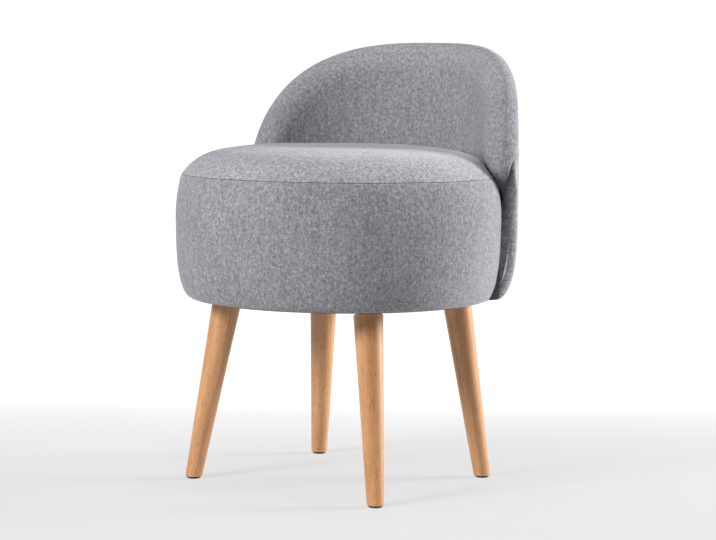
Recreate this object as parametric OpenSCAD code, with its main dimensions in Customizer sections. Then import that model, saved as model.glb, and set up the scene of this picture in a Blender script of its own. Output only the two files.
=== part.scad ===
// Upholstered drum stool with a low wrap-around back and four raked turned legs.
// Millimetres, +Z up, front towards -Y. The origin is on the floor, under the
// middle of the footprint, so the drum's own axis stands a little in front of it.

/* [Seat drum] */
// Radius of the drum at its widest
drum_r = 210; // [190:1:230]
// Height of the drum's underside above the floor
drum_floor = 240; // [200:1:300]
// Height of the drum's side, from its underside to the seat seam
side_h = 159; // [140:1:190]
// Rise of the seat's crown above the seam
crown_h = 35; // [28:1:45]
// How far the side is drawn in at the seam
seam_draw_in = 7; // [3:0.5:10]
// How far the rounded bottom corner comes in
corner_in = 20; // [18:0.5:22]
// Height over which the bottom corner rounds
corner_rise = 91; // [80:1:100]

/* [Back] */
// Rise of the back above the seat seam
back_rise = 172; // [140:1:210]
// Thickness of the back outside the drum
back_wall = 20; // [20:0.5:26]
// Angle that the back wraps, from its middle to each end
back_half_angle = 72; // [64:1:76]
// Angle that the back wraps beside the drum, below the arch
back_foot_angle = 61; // [58:0.5:70]
// How far below the seam the arch meets the back's upright ends
arch_drop = 17; // [12:1:24]
// Depth of the cushion inside the back's board
cushion_depth = 25; // [20:1:30]
// Rounding of the outer rim
outer_round = 20; // [18:1:24]
// Rounding of the inner rim
inner_round = 38; // [32:1:46]
// How far the outer face comes in at the top
back_lean = 5; // [0:0.5:7]
// Height of the back's lower edge above the drum's underside
back_lift = 7; // [5:1:12]
// How far the back's lower corner comes in
back_corner_in = 22.5; // [21:0.5:26]
// Height over which the back's lower corner rounds
back_corner_rise = 84; // [70:1:95]
// Rise of the rear panel's top seam, from the arch's foot to its middle
panel_rise = 70; // [60:1:90]

/* [Legs] */
// Distance of a front leg's plate from the edge of the base board
front_plate_in = 14.5; // [6:0.5:24]
// Distance of a rear leg's plate from the edge of the base board
rear_plate_in = 1.5; // [0.5:0.5:10]
// How far a front foot stands outside the top of its leg
front_splay = 43.5; // [30:0.5:52]
// How far a rear foot stands outside the top of its leg
rear_splay = 38.5; // [30:0.5:52]
// Angle of each front leg from the front
front_leg_angle = 52.6; // [47:0.1:57]
// Angle of each rear leg from the rear
rear_leg_angle = 44.6; // [42:0.1:47]
// Diameter of a leg at the top
leg_top_d = 37.4; // [32:0.2:42]
// Diameter of a leg at the foot
leg_foot_d = 21.4; // [19.5:0.1:26]
// Bevel round a leg's top
leg_bevel = 1.5; // [0.5:0.5:3]
// Diameter of a glide
glide_d = 18; // [14:0.5:19]
// Height of a glide
glide_h = 3; // [2:0.5:5]

/* [Frame] */
// Thickness of padding and cover between the frame and the drum's widest line
side_pad = 22; // [18:0.5:26]
// Thickness of the hardboard skin round the frame
skin_t = 3; // [2:0.5:4]
// Thickness of the plywood base board
base_board_t = 15; // [12:1:18]
// Thickness of the plywood seat board
seat_board_t = 12; // [9:1:15]
// Depth of the seat board's top below the seam
pad_drop = 12; // [9:1:20]
// Width of a frame post
post_w = 30; // [26:1:36]
// Thickness of the bent plywood board in the back
back_board_t = 9; // [6:0.5:9]
// Radius of the vent holes in the seat board
vent_r = 10; // [6:1:14]
// Distance of the vent holes' middles from the edge of the seat board
vent_in = 100; // [75:1:120]

/* [Upholstery] */
// Thickness of the woven cover
cover_t = 1.5; // [1:0.1:2]
// Thickness of the wadding under the seat cover
wadding_t = 5; // [3:0.5:8]
// Width of the cover turned under the drum
hem_w = 15; // [10:1:20]
// Thickness of the non-woven dust cover
dust_t = 0.6; // [0.4:0.1:1]
// Depth of the sewn seams below the cloth
seam_dip = 2.5; // [1:0.25:3]

/* [Fasteners] */
// Thread diameter of the hanger bolts in the legs
hanger_d = 8; // [6:1:10]
// Length of a hanger bolt's wood thread
hanger_wood = 32; // [25:1:45]
// Length of a hanger bolt beyond the plate's face
hanger_tip = 15; // [12:1:17]
// Width of a leg plate
plate_w = 54; // [50:1:56]
// Thickness of a leg plate
plate_t = 2; // [1.5:0.5:3]
// Radius of a leg plate's slanted boss
boss_r = 13; // [11:0.5:16]
// Distance of a leg plate's screws from its edges
plate_screw_in = 8; // [6.5:0.5:10]
// Diameter of the plate and frame screws
screw_d = 4; // [3:0.5:5]
// Length of a plate screw
plate_screw_l = 14; // [11:1:16]
// Length of a frame screw
frame_screw_l = 35; // [28:1:40]
// Thread diameter of the bolts that hold the back
back_bolt_d = 6; // [5:1:8]
// Clearance between the back bolts and the tips of the frame screws
bolt_clear = 9; // [6:1:12]

/* [Hidden] */

// Fineness of the turned pieces
$fn = 96;
// Quarter turn that a rounded outline takes
quarter = 90;
// Overrun of every cut past the face that it opens
overrun = 2;
// Clearance between a soft piece and its neighbour
soft_gap = 0.3;
// Clearance round a board that slips inside another piece
fit_gap = 0.2;
// Clearance between the back's cushion and the seat that it rests against
press_gap = 0.8;
// Radial clearance between a thread and its hole
thread_gap = 0.05;
// Clearance of the back's inner face from the drum's side
back_gap = 1;
// Room between the drum's side and the back's board
board_gap = 2;
// Half of the groove between two sewn covers
seam_gap = 0.4;

// Heights
seam_z = drum_floor + side_h;
seat_z = seam_z + crown_h;
back_top = seam_z + back_rise;
base_z = drum_floor + cover_t;
post_z = base_z + base_board_t;
pad_z = seam_z - pad_drop;
seat_board_z = pad_z - seat_board_t;
dust_z = drum_floor - dust_t;
plate_z = dust_z - plate_t;
back_z = drum_floor + back_lift;

// The drum's axis stands in front of the origin, which is the middle of the footprint
drum_y = -back_wall / 2;

// Shares and powers that give the cushions their curves
belly_share = 0.66;
crown_power = 6.6;
corner_power = 2.28;
arch_side_power = 2.88;
arch_top_power = 1.93;
panel_power = 2.97;
foot_power = 2.5;
full_share = 0.9998;
board_foot_share = 0.25;
head_share = 2;
nut_share = 0.8;
glide_edge_share = 0.85;

belly_z = drum_floor + side_h * belly_share;
corner_z = drum_floor + corner_rise;
frame_r = drum_r - side_pad;
board_r = frame_r - skin_t - fit_gap;

// Radius of the drum's side at a height between the corner and the seam
function side_r(z) = drum_r - seam_draw_in * pow((z - belly_z) / (seam_z - belly_z), 2);

seam_r = side_r(seam_z);
corner_r = side_r(corner_z);

// Radius of the drum's rounded corner at a height below its top
function corner_at(z) =
  let (drop = min(1, pow((corner_z - z) / corner_rise, corner_power / 2)))
  corner_r - corner_in * (1 - pow(1 - drop * drop, 1 / corner_power));

// Radius of the drum at any height, without the draw-in above its widest line
function drum_at(z) = z >= belly_z ? drum_r : z >= corner_z ? side_r(z) : corner_at(z);

// Radius of the seat at a height above or below the seam, and zero over the crown
function seat_at(z) =
  z < seam_z ? side_r(z) : z < seat_z ? seam_r * pow(1 - (z - seam_z) / crown_h, 1 / crown_power) : 0;

// Drum outline from the underside to the seam, inset by e
corner_steps = 10;
side_steps = 8;
function side_outline(e) = concat(
  [for (i = [0:corner_steps]) let (t = quarter * i / corner_steps)
    [corner_r - e - (corner_in - e) * (1 - pow(sin(t), 2 / corner_power)),
     corner_z - (corner_rise - e) * pow(cos(t), 2 / corner_power)]],
  [for (i = [1:side_steps - 1]) let (z = corner_z + (seam_z - corner_z) * i / side_steps)
    [side_r(z) - e, z]]);

// Crown outline from above the seam to the middle, inset by e
crown_steps = 12;
function crown_outline(e) =
  [for (i = [1:crown_steps]) let (t = quarter * i / crown_steps)
    [i == crown_steps ? 0 : (seam_r - e) * pow(cos(t), 2 / crown_power),
     seam_z + (crown_h - e) * pow(sin(t), 2)]];

function reversed(list) = [for (i = [len(list) - 1:-1:0]) list[i]];

module around_drum() translate([0, drum_y, 0]) children();

// Seat: covers, padding and the drum's frame

module seat_top_cover() color("#9a9ca3") around_drum() rotate_extrude()
  polygon(concat(
    [[seam_r - seam_dip, seam_z + seam_gap]], crown_outline(0),
    reversed(crown_outline(cover_t)), [[seam_r - seam_dip - cover_t, seam_z + seam_gap]]));

module seat_side_cover() color("#85878d") difference() {
  around_drum() rotate_extrude()
    polygon(concat(
      [[corner_r - corner_in - hem_w, drum_floor]], side_outline(0),
      [[seam_r - seam_dip, seam_z - seam_gap], [seam_r - seam_dip - cover_t, seam_z - seam_gap]],
      reversed(side_outline(cover_t)), [[corner_r - corner_in - hem_w, base_z]]));
  back_bolt_holes();
  plate_screw_holes();
}

// The wadding stops short of the seam and lies between the pad and the seat cover
wadding_steps = 3;
module seat_wadding() color("#f2f2ee") around_drum() rotate_extrude()
  polygon(concat(
    [for (i = [wadding_steps:crown_steps - 1]) crown_outline(cover_t + soft_gap)[i]],
    reversed([for (i = [wadding_steps:crown_steps - 1]) crown_outline(cover_t + wadding_t)[i]])));

module seat_foam() color("#e9e0b8") around_drum() rotate_extrude()
  polygon(concat(
    [[0, pad_z], [side_r(pad_z) - cover_t - soft_gap, pad_z],
     [seam_r - seam_dip - cover_t - soft_gap, seam_z - seam_gap]],
    [for (i = [0:wadding_steps - 1]) crown_outline(cover_t + seam_dip)[i]],
    [for (i = [wadding_steps:crown_steps - 1]) crown_outline(cover_t + wadding_t + soft_gap)[i]]));

module side_foam() color("#e9e0b8") difference() {
  around_drum() rotate_extrude()
    polygon(concat(
      [for (p = side_outline(cover_t + soft_gap)) if (p[0] > frame_r + soft_gap && p[1] < pad_z) p],
      [[side_r(pad_z) - cover_t - soft_gap, pad_z - soft_gap], [frame_r + soft_gap, pad_z - soft_gap],
       [frame_r + soft_gap, base_z + soft_gap]]));
  back_bolt_holes();
}

module disc(z, r, t) around_drum() translate([0, 0, z]) cylinder(r = r, h = t);

module seat_board() color("#d9bd8b") difference() {
  disc(seat_board_z, board_r, seat_board_t);
  around_drum() for (i = [0:3]) rotate(quarter * (i + 0.5))
    translate([board_r - vent_in, 0, seat_board_z - overrun])
      cylinder(r = vent_r, h = seat_board_t + 2 * overrun);
  frame_screw_holes();
}

module base_board() color("#d9bd8b") difference() {
  disc(base_z, board_r, base_board_t);
  frame_screw_holes();
  plate_screw_holes();
  for (leg = legs) along_leg(leg)
    translate([0, 0, leg_l(leg)]) cylinder(r = hanger_d, h = hanger_tip + 2 * overrun);
}

module drum_skin() color("#a67c52") difference() {
  around_drum() translate([0, 0, base_z]) difference() {
    cylinder(r = frame_r, h = pad_z - base_z);
    translate([0, 0, -overrun]) cylinder(r = frame_r - skin_t, h = pad_z - base_z + 2 * overrun);
  }
  back_bolt_holes();
}

// Distance of a post's outer face from the drum's axis, so that its corners clear the skin
post_count = 8;
post_face = sqrt(pow(board_r, 2) - pow(post_w / 2, 2));
module at_posts() around_drum() for (i = [0:post_count - 1]) rotate(90 + 360 * i / post_count) children();

module frame_posts() color("#e0c79a") difference() {
  at_posts() translate([post_face - post_w, -post_w / 2, post_z])
    cube([post_w, post_w, seat_board_z - post_z]);
  frame_screw_holes();
  back_bolt_holes();
}

// Countersunk screw pointing down, its head sunk a little below the face at z = 0
head_sink = 0.3;
module screw(d, l) rotate_extrude() polygon([
  [0, -head_sink], [d / 2 * head_share, -head_sink], [d / 2, -head_sink - d / 2],
  [d / 2, -head_sink - l], [0, -head_sink - l]]);

// Hole for such a screw
module screw_hole(d, l) {
  r = d / 2 + thread_gap;
  head_r = d / 2 * head_share + thread_gap;
  rotate_extrude() polygon([
    [0, overrun], [head_r, overrun], [head_r, -head_sink], [r, -head_sink - d / 2],
    [r, -head_sink - l - overrun], [0, -head_sink - l - overrun]]);
}

// Distance of a post's screws from its outer face
post_screw_in = 10;
module at_frame_screws() at_posts() translate([post_face - post_screw_in, 0, 0]) {
  translate([0, 0, pad_z]) children();
  translate([0, 0, base_z]) mirror([0, 0, 1]) children();
}
module frame_screws() color("silver") at_frame_screws() screw(screw_d, frame_screw_l);
module frame_screw_holes() at_frame_screws() screw_hole(screw_d, frame_screw_l);

dust_margin = 3;
module dust_cover() color("#26262a") difference() {
  disc(dust_z, corner_r - corner_in - dust_margin, dust_t);
  plate_screw_holes();
  for (leg = legs) along_leg(leg)
    translate([0, 0, leg_l(leg)]) cylinder(r = hanger_d, h = hanger_tip + 2 * overrun);
}

// Back: a bent board, padded on both sides and covered

back_r = drum_r + back_wall;
half_arc = back_r * back_half_angle * PI / 180;
arch_z = seam_z - arch_drop;
tuck_z = arch_z + soft_gap;
rim_least = 2;

function smooth(x) = let (k = max(0, min(1, x))) k * k * (3 - 2 * k);

// The back's ends draw in from the arch to the foot, over this height about the arch's foot
wrap_drop = 14;
wrap_h = 47;
wrap_z = arch_z - wrap_drop;
wrap_mid_z = wrap_z + wrap_h / 2;
function wrap_at(z) =
  let (foot_share = back_foot_angle / back_half_angle)
  foot_share + (1 - foot_share) * smooth((z - wrap_z) / wrap_h);

// Height of the arch where q goes from 0 at the middle to 1 at an end, inset by e
function arch_at(q, e) =
  arch_z + (back_top - arch_z - e) * pow(1 - pow(q, arch_side_power), 1 / arch_top_power);

// Fall of the arch for each millimetre along the back
function arch_slope(q) =
  (back_top - arch_z) / arch_top_power * pow(1 - pow(q, arch_side_power), 1 / arch_top_power - 1)
  * arch_side_power * pow(q, arch_side_power - 1) / half_arc;

// Distance from the back's inset edge
function edge_at(q, z, e) =
  max(0, min((arch_at(q, e) - z) / sqrt(1 + pow(arch_slope(q), 2)), (half_arc - e) * (1 - q)));

// Height of the seam between the cushion's cover and the rear panel
function panel_at(q, e) =
  min(arch_z + panel_rise * pow(1 - pow(q, arch_side_power), 1 / panel_power), arch_at(q, e) - rim_least);

function roll(d, r) = let (k = 1 - min(1, d / r)) sqrt(max(0, 1 - k * k));

// Inner limit of the back: it follows the drum's corner at the foot
function back_base(z) = min(drum_at(z), drum_r) + back_gap;

// Radius of the outer face before its rim is rounded, inset by e
function outer_full(z, e) =
  let (low = pow(max(0, 1 - (z - back_z - e) / (back_corner_rise - e)), foot_power),
       tip = max(0, (z - seat_z) / (back_top - seat_z)))
  back_r - e - (back_corner_in - e) * (1 - pow(1 - low, 1 / foot_power)) - back_lean * tip;

// Shallow valley along the sewn seam
dip_reach = 3 * seam_dip;
function dip_at(q, z, e) = seam_dip * pow(max(0, 1 - abs(z - panel_at(q, e)) / dip_reach), 2);

function outer_at(q, z, e) =
  let (k = roll(edge_at(q, z, e), outer_round - e))
  back_base(z) + max(0, outer_full(z, e) - back_base(z) - dip_at(q, z, e)) * k;

// The cushion swells inwards above the seat and lies against the seat's shoulder. Its cloth
// and foam are measured across a face that slants, so their radial depth is greater.
slant_share = 1.4;
swell_drop = 29;
swell_h = 60;
ease_power = 6;
function eased_min(a, b) = a * b / pow(pow(a, ease_power) + pow(b, ease_power), 1 / ease_power);
function inner_at(q, z, e) =
  let (k = roll(edge_at(q, z, e), inner_round - e),
       deep = cushion_depth * k * smooth((z - seam_z + swell_drop) / swell_h),
       room = back_base(z) - seat_at(z) - press_gap)
  back_base(z) - eased_min(deep, room) + e * k * slant_share;

// Columns of the back from one end to the other, closer together at the ends
column_steps = 17;
board_steps = 13;
function column(i) = sin(quarter * i / column_steps) * full_share;
columns = [for (i = [-column_steps:column_steps]) column(i)];
board_edge = column(board_steps);
foam_columns = [for (s = columns) if (abs(s) < column(column_steps - 1)) s];

// Point of a column: q is signed, r and z lie in the column's own plane, e insets the ends
function spot(q, r, z, e) =
  let (a = q * back_half_angle * wrap_at(z) * (1 - e / half_arc)) [r * sin(a), r * cos(a) + drum_y, z];

shoulder_shares = [0, 0.32, 0.5, 0.64, 0.78, 1];
face_steps = 5;
rim_steps = 5;
foot_steps = 8;

// Heights down the outer face of a column, from the rim to just above the seam and the seam
function rim_rows(q, e) =
  let (top = arch_at(q, e), seam = panel_at(q, e), near = seam + min(dip_reach, (top - seam) / 3))
  [for (i = [1:rim_steps]) top - (top - near) * (1 - cos(quarter * i / rim_steps)), seam];

// Heights down the outer face of a column, from just below the seam to the foot
function foot_rows(q, e) =
  let (near = panel_at(q, e) - dip_reach)
  [for (i = [0:foot_steps]) near - (near - back_z - e) * sin(quarter * i / foot_steps)];

// Heights up the inner face of a column, from low past the seat's shoulder to the rim
function inner_rows(q, e, low) =
  let (top = arch_at(q, e), start = min(low, top - rim_least), mid = min(seat_z, (start + 2 * top) / 3))
  concat(
    [for (share = shoulder_shares) start + (mid - start) * share],
    [for (i = [1:face_steps]) mid + (top - mid) * sin(quarter * i / face_steps)]);

// Paths of a column's cloth, as points in space
function cushion_path(s, e) = let (q = abs(s)) concat(
  [for (z = inner_rows(q, e, tuck_z)) spot(s, inner_at(q, z, e), z, e)],
  [for (z = rim_rows(q, e)) spot(s, outer_at(q, z, e), z, e)]);

function panel_path(s, e) = let (q = abs(s), seam = panel_at(q, e) - 2 * seam_gap) concat(
  [spot(s, outer_at(q, seam, e), seam, e)],
  [for (z = foot_rows(q, e)) spot(s, outer_at(q, z, e), z, e)],
  [spot(s, back_base(back_z + e), back_z + e, e)]);

// Solid between closed rings of the same number of points. Each ring is made of two paths of
// equal length, and a strip between them closes both ends.
module loft(rings) {
  n = len(rings[0]);
  last = (len(rings) - 1) * n;
  ends = [for (j = [0:n / 2 - 2]) let (k = n - 1 - j)
    each [[j, k, j + 1], [j + 1, k, k - 1],
          [last + j, last + j + 1, last + k], [last + j + 1, last + k - 1, last + k]]];
  polyhedron(
    points = [for (ring = rings) each ring],
    faces = concat(
      ends,
      [for (i = [0:len(rings) - 2], j = [0:n - 1]) let (a = i * n + j, b = i * n + (j + 1) % n)
        each [[a, b, b + n], [a, b + n, a + n]]]),
    convexity = 6);
}

module back_cushion_cover() color("#94969d")
  loft([for (s = columns) concat(cushion_path(s, 0), reversed(cushion_path(s, cover_t)))]);

module back_outer_panel() color("#85878d")
  loft([for (s = columns) concat(panel_path(s, 0), reversed(panel_path(s, cover_t)))]);

// Cushion foam: between the board's inner face and the cushion's cover
board_in = drum_r + board_gap;
board_out = board_in + back_board_t;
foam_e = cover_t + soft_gap;
foam_low = tuck_z + cover_t;
module back_cushion_foam() color("#e9e0b8")
  loft([for (s = foam_columns) let (
      q = abs(s), rows = inner_rows(q, foam_e, foam_low), back = board_in - soft_gap)
    concat(
      [for (z = rows) spot(s, min(inner_at(q, z, foam_e), back - soft_gap), z, foam_e)],
      [for (z = reversed(rows)) spot(s, back, z, foam_e)])]);

// Height of the board's top edge, below the arch
board_inset = outer_round - foam_e;
function board_top(q) = arch_at(q, 0) - board_inset * sqrt(1 + pow(arch_slope(q), 2));
board_low = back_z + back_corner_rise * board_foot_share;

module back_board() color("#d9bd8b") difference() {
  intersection() {
    around_drum() translate([0, 0, board_low]) difference() {
      cylinder(r = board_out, h = back_top - board_low);
      translate([0, 0, -overrun]) cylinder(r = board_in, h = back_top - board_low + 2 * overrun);
    }
    loft([for (s = columns) if (abs(s) <= board_edge) let (
        rows = [board_low - overrun, wrap_z, wrap_mid_z, board_top(abs(s))])
      concat(
        [for (z = rows) spot(s, board_in - overrun, z, 2 * foam_e)],
        [for (z = reversed(rows)) spot(s, board_out + overrun, z, 2 * foam_e)])]);
  }
  back_bolt_holes();
}

// Outer foam: between the board's outer face and the covers, and over the board's top edge
back_rows = rim_steps + foot_steps - 3;
module back_outer_foam() color("#e9e0b8")
  loft([for (s = foam_columns) let (
      q = abs(s), top = arch_at(q, foam_e), foot = back_z + foam_e, low = board_low - soft_gap,
      held = q <= board_edge, out = held ? board_out + soft_gap : board_in + soft_gap,
      edge = held ? board_top(q) + soft_gap : (wrap_mid_z + top) / 2)
    concat(
      [for (z = rim_rows(q, foam_e))
        spot(s, max(outer_at(q, z, foam_e), board_in + 2 * soft_gap), z, foam_e)],
      [for (z = foot_rows(q, foam_e)) spot(s, foam_outer(q, z), z, foam_e)],
      [spot(s, foam_inner(foot), foot, foam_e), spot(s, foam_inner(low), low, foam_e)],
      [for (i = [0:back_rows]) spot(s, out, low + (edge - low) * i / back_rows, foam_e)],
      [spot(s, board_in, edge, foam_e), spot(s, board_in, top, foam_e)])]);
function foam_inner(z) = min(board_in, back_base(z) + cover_t);
function foam_outer(q, z) =
  max(outer_at(q, z, foam_e), (z < board_low ? foam_inner(z) : board_in) + 2 * soft_gap);

// Bolts through the board, the padding and three posts
bolt_posts = [-1, 0, 1];
bolt_in = head_sink + frame_screw_l + bolt_clear + back_bolt_d / 2;
bolt_heights = [base_z + bolt_in, pad_z - bolt_in];
post_in = post_face - post_w;
washer_t = back_bolt_d / 4;
nut_t = back_bolt_d * nut_share;
module at_back_bolts() around_drum() for (i = bolt_posts, z = bolt_heights)
  rotate(90 + 360 * i / post_count) translate([0, 0, z]) rotate([0, 90, 0]) children();

bolt_l = board_out - post_in + washer_t + nut_t + back_bolt_d / 2;
module back_bolts() color("silver") at_back_bolts() translate([0, 0, board_out]) screw(back_bolt_d, bolt_l);
module back_bolt_holes() at_back_bolts() translate([0, 0, board_out]) screw_hole(back_bolt_d, bolt_l);
module back_washers() color("silver") at_back_bolts() translate([0, 0, post_in - washer_t]) difference() {
  cylinder(r = back_bolt_d, h = washer_t);
  translate([0, 0, -overrun]) cylinder(r = back_bolt_d / 2 + fit_gap, h = washer_t + 2 * overrun);
}
module back_nuts() color("silver") at_back_bolts()
    translate([0, 0, post_in - washer_t - nut_t]) difference() {
  cylinder(r = back_bolt_d, h = nut_t, $fn = 6);
  translate([0, 0, -overrun]) cylinder(r = back_bolt_d / 2 + thread_gap, h = nut_t + 2 * overrun);
}

// Legs: each is [direction, radius of its top, splay of its foot] about the drum's axis
front_top_r = board_r - front_plate_in - plate_w / 2;
rear_top_r = board_r - rear_plate_in - plate_w / 2;
legs = [
  [270 - front_leg_angle, front_top_r, front_splay], [270 + front_leg_angle, front_top_r, front_splay],
  [90 + rear_leg_angle, rear_top_r, rear_splay], [90 - rear_leg_angle, rear_top_r, rear_splay]
];
function rake(leg) = atan(leg[2] / plate_z);
function leg_l(leg) = (plate_z - fit_gap - leg_top_d / 2 * sin(rake(leg))) / cos(rake(leg));

// Local frame of a leg: z runs up its axis from the floor
module along_leg(leg) around_drum() rotate(leg[0]) translate([leg[1] + leg[2], 0, 0])
  rotate([0, -rake(leg), 0]) children();
// Upright frame over a foot, where the leg is sawn level
module over_foot(leg) around_drum() rotate(leg[0])
  translate([leg[1] + leg[2] - glide_h * tan(rake(leg)), 0, 0]) children();

nail_d = 2.5;
nail_l = 12;
module leg_wood(leg) color("#c8955b") difference() {
  top = leg_l(leg);
  taper = (leg_top_d - leg_foot_d) / 2 / top;
  along_leg(leg) rotate_extrude() polygon([
    [0, -leg_foot_d], [leg_foot_d / 2 - taper * leg_foot_d, -leg_foot_d],
    [leg_top_d / 2 - taper * leg_bevel, top - leg_bevel], [leg_top_d / 2 - leg_bevel, top], [0, top]]);
  over_foot(leg) translate([0, 0, glide_h - 2 * leg_foot_d])
    cylinder(r = 2 * leg_foot_d, h = 2 * leg_foot_d);
  over_foot(leg) cylinder(r = nail_d / 2 + thread_gap, h = glide_h + nail_l + overrun);
  along_leg(leg) translate([0, 0, leg_l(leg) - hanger_wood - overrun])
    cylinder(r = hanger_d / 2 + thread_gap, h = hanger_wood + 2 * overrun);
}
module leg_front_left() leg_wood(legs[0]);
module leg_front_right() leg_wood(legs[1]);
module leg_rear_left() leg_wood(legs[2]);
module leg_rear_right() leg_wood(legs[3]);

// Nail-on glide
module glide(leg) color("#3a3a3c") over_foot(leg) rotate_extrude() polygon([
  [0, 0], [glide_d / 2 * glide_edge_share, 0], [glide_d / 2, glide_h / 3], [glide_d / 2, glide_h],
  [nail_d / 2, glide_h], [nail_d / 2, glide_h + nail_l], [0, glide_h + nail_l]]);
module glide_front_left() glide(legs[0]);
module glide_front_right() glide(legs[1]);
module glide_rear_left() glide(legs[2]);
module glide_rear_right() glide(legs[3]);

// Steel plate with a slanted threaded boss, square to the leg
plate_corner = 6;
module at_plate(leg) around_drum() rotate(leg[0]) translate([leg[1], 0, plate_z]) children();
module plate_body(leg) {
  at_plate(leg) linear_extrude(plate_t) union() {
    square([plate_w, plate_w - 2 * plate_corner], center = true);
    square([plate_w - 2 * plate_corner, plate_w], center = true);
    for (x = [-1, 1], y = [-1, 1]) translate([x, y] * (plate_w / 2 - plate_corner))
      circle(r = plate_corner);
  }
  intersection() {
    along_leg(leg) translate([0, 0, leg_l(leg)]) cylinder(r = boss_r, h = leg_top_d);
    at_plate(leg) translate([0, 0, -leg_top_d]) cylinder(r = plate_w / 2, h = leg_top_d + plate_t / 2);
  }
}
module leg_plate(leg) color("#8f9296") difference() {
  plate_body(leg);
  along_leg(leg) translate([0, 0, leg_l(leg) - overrun])
    cylinder(r = hanger_d / 2 + thread_gap, h = leg_top_d);
  plate_screw_holes();
}
module leg_plate_front_left() leg_plate(legs[0]);
module leg_plate_front_right() leg_plate(legs[1]);
module leg_plate_rear_left() leg_plate(legs[2]);
module leg_plate_rear_right() leg_plate(legs[3]);

module hanger_bolts() color("silver") for (leg = legs) along_leg(leg)
  translate([0, 0, leg_l(leg) - hanger_wood]) cylinder(r = hanger_d / 2, h = hanger_wood + hanger_tip);

module at_plate_screws() for (leg = legs) at_plate(leg)
  for (x = [-1, 1], y = [-1, 1]) translate([x, y, 0] * (plate_w / 2 - plate_screw_in))
    mirror([0, 0, 1]) children();
module plate_screws() color("silver") at_plate_screws() screw(screw_d, plate_screw_l);
module plate_screw_holes() at_plate_screws() screw_hole(screw_d, plate_screw_l);

seat_top_cover();
seat_side_cover();
seat_wadding();
seat_foam();
side_foam();
seat_board();
base_board();
drum_skin();
frame_posts();
frame_screws();
dust_cover();
back_board();
back_cushion_foam();
back_outer_foam();
back_cushion_cover();
back_outer_panel();
back_bolts();
back_washers();
back_nuts();
leg_front_left();
leg_front_right();
leg_rear_left();
leg_rear_right();
leg_plate_front_left();
leg_plate_front_right();
leg_plate_rear_left();
leg_plate_rear_right();
glide_front_left();
glide_front_right();
glide_rear_left();
glide_rear_right();
hanger_bolts();
plate_screws();
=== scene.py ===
import math

import bmesh
import bpy
import numpy as np
from mathutils import Matrix, Vector, kdtree, noise


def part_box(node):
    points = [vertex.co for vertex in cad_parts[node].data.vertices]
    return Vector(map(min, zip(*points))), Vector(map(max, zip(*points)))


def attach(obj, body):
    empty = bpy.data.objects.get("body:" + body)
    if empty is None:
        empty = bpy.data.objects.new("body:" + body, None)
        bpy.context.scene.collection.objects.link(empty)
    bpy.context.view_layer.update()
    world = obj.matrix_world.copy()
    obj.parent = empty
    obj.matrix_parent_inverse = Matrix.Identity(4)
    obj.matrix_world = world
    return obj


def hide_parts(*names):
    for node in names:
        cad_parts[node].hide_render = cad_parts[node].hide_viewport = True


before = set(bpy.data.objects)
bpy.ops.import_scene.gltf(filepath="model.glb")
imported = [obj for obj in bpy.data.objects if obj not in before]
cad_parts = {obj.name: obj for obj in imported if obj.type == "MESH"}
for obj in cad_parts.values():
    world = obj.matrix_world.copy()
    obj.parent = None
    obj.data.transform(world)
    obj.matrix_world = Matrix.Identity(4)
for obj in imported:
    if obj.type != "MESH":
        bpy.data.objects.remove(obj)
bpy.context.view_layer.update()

bl_info = {
    "name": "Drum Stool Dressing",
    "version": (1, 0, 0),
    "blender": (4, 5, 0),
    "location": "View3D > Sidebar > Stool",
    "description": "Covers the frame of a drum stool with cloth, wood and metal, and sets its stage",
    "category": "Object",
}

MM = 0.001
# Points of a body that lie closer together than this, in metres, become one
WELD = 1e-6
# How the picture was taken: turn from straight ahead, to the sitter's left, look down and tilt
VIEW_TURN, VIEW_PITCH, VIEW_TILT = (math.radians(a) for a in (36.9871, 5.4503, 0.6648))
# Width of the picture and its focal length, in its own pixels
VIEW_WIDTH, VIEW_FOCUS = 716, 2235.5447
# Point in metres that the camera stands back from, and how far back and to its right it stands
VIEW_CENTRE, VIEW_BACK, VIEW_RIGHT = (0, -0.010, 0.5506), 2.886, 0.0254


def cad_height(node, top):
    """Height of a frame node's top or bottom, in metres."""
    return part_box(node)[1 if top else 0].z


def cad_radius(node):
    """Half the width of a frame node, in metres."""
    low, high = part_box(node)
    return (high.x - low.x) / 2


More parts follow.
